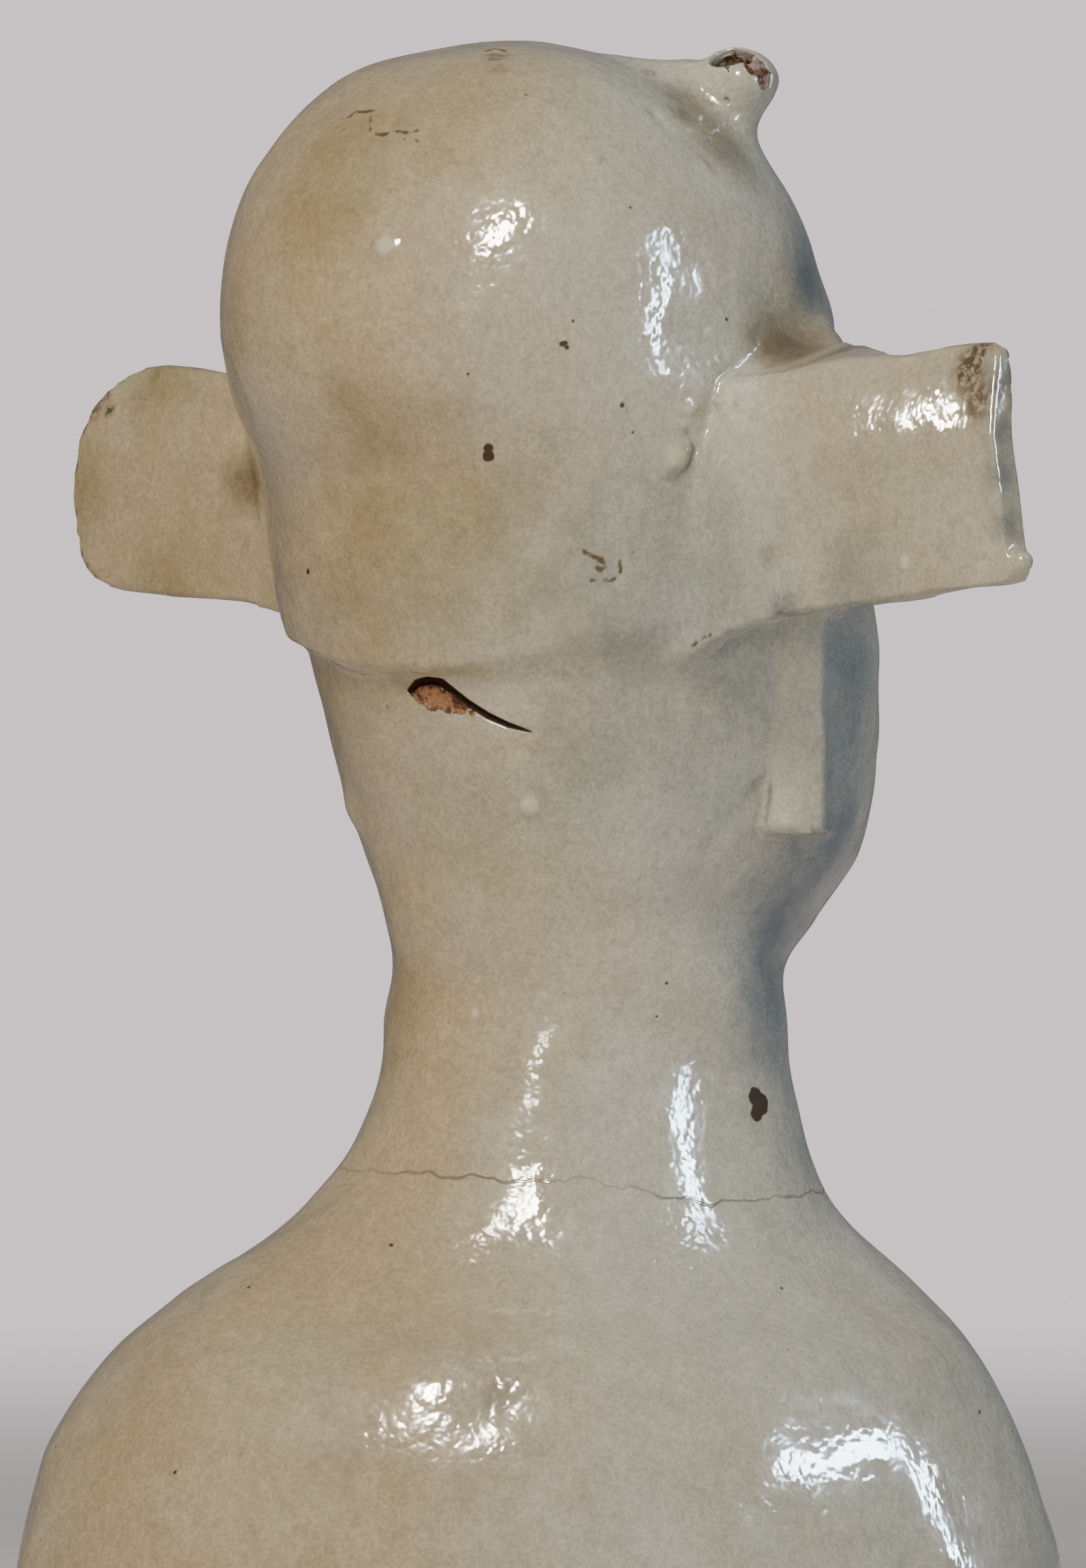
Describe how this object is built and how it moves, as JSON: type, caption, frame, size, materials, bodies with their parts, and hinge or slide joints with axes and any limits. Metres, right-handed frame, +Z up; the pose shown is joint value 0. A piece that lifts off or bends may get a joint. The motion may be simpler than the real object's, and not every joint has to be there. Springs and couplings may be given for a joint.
{
  "type": "porcelain bust of a capped figure",
  "caption": "Small glazed porcelain bust: head in a close cap with a flat lug at each ear and a hollow crown knob, on sloping shoulders cut flat below.",
  "frame": {"origin": "middle of the flat cut under the shoulders, halfway between the lugs' ends", "axes": "+Z up towards the crown, the face looks along -Y, the lugs run along X"},
  "size_m": [0.082, 0.058, 0.09],
  "materials": {
    "glaze": "glossy grey-green porcelain glaze, rippled, with iron specks and brown stains"
  },
  "bodies": {
    "root": {"porcelain_bust": "glaze"}
  },
  "joints": []
}
